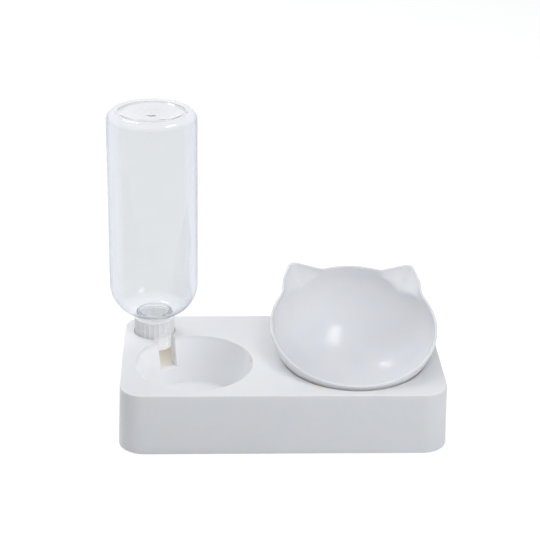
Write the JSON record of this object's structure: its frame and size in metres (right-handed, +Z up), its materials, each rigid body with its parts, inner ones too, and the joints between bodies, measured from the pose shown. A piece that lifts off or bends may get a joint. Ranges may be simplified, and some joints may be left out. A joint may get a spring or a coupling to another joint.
{
  "type": "double pet bowl",
  "caption": "Pet feeding station: a low base with a sunk water bowl, refilled by an upturned clear bottle, and a loose food bowl with cat ears that tilts to the front.",
  "frame": {"origin": "middle of the whole object's box in plan, on the surface that the feet stand on", "axes": "+X to the food bowl's side, +Y to the back, +Z up; the bottle stands at the back on the -X side and the food bowl leans to the front, -Y"},
  "size_m": [0.3154, 0.1772, 0.2852],
  "materials": {
    "base_plastic": "white satin injection moulding",
    "foot_rubber": "soft pale grey pad",
    "bowl_plastic": "glossy, slightly cool white",
    "bottle_clear": "clear blown plastic",
    "cap_plastic": "white, ribbed for grip",
    "seal_rubber": "soft, milky",
    "valve_plastic": "plain white moulding",
    "washer_rubber": "dark soft washer",
    "spring_steel": "stainless wire"
  },
  "bodies": {
    "base": {"base_shell": "base_plastic", "foot_front_left": "foot_rubber", "foot_front_right": "foot_rubber", "foot_back_left": "foot_rubber", "foot_back_right": "foot_rubber"},
    "bowl": {"food_bowl": "bowl_plastic"},
    "valve": {"valve_stem": "valve_plastic", "valve_washer": "washer_rubber", "valve_spring": "spring_steel"},
    "cap": {"cap_shell": "cap_plastic", "spring_retainer": "valve_plastic"},
    "seal": {"neck_seal": "seal_rubber"},
    "bottle": {"bottle": "bottle_clear"}
  },
  "joints": [
    {"name": "bowl_lift", "type": "slide", "parent": "base", "child": "bowl", "axis": [0, -0.342, 0.9397], "range_m": [0, 0.08]},
    {"name": "bottle_lift", "type": "slide", "parent": "base", "child": "valve", "axis": [0, 0, 1], "range_m": [0, 0.06]},
    {"name": "valve_close", "type": "slide", "parent": "valve", "child": "cap", "axis": [0, 0, 1], "range_m": [0, 0.003], "stiffness_N_per_m": 50, "springref_m": 0.006, "deforming": ["valve_spring"]},
    {"name": "bottle_turn", "type": "hinge", "parent": "cap", "child": "seal", "pos_m": [-0.11538, 0.04633, 0.0512], "axis": [0, 0, 1], "range_deg": [0, 720]},
    {"name": "bottle_rise", "type": "slide", "parent": "seal", "child": "bottle", "axis": [0, 0, 1], "range_m": [0, 0.008]}
  ],
  "couplings": [
    {"joint": "bottle_rise", "follows": "bottle_turn", "m_per_rad": 0.00063662}
  ]
}
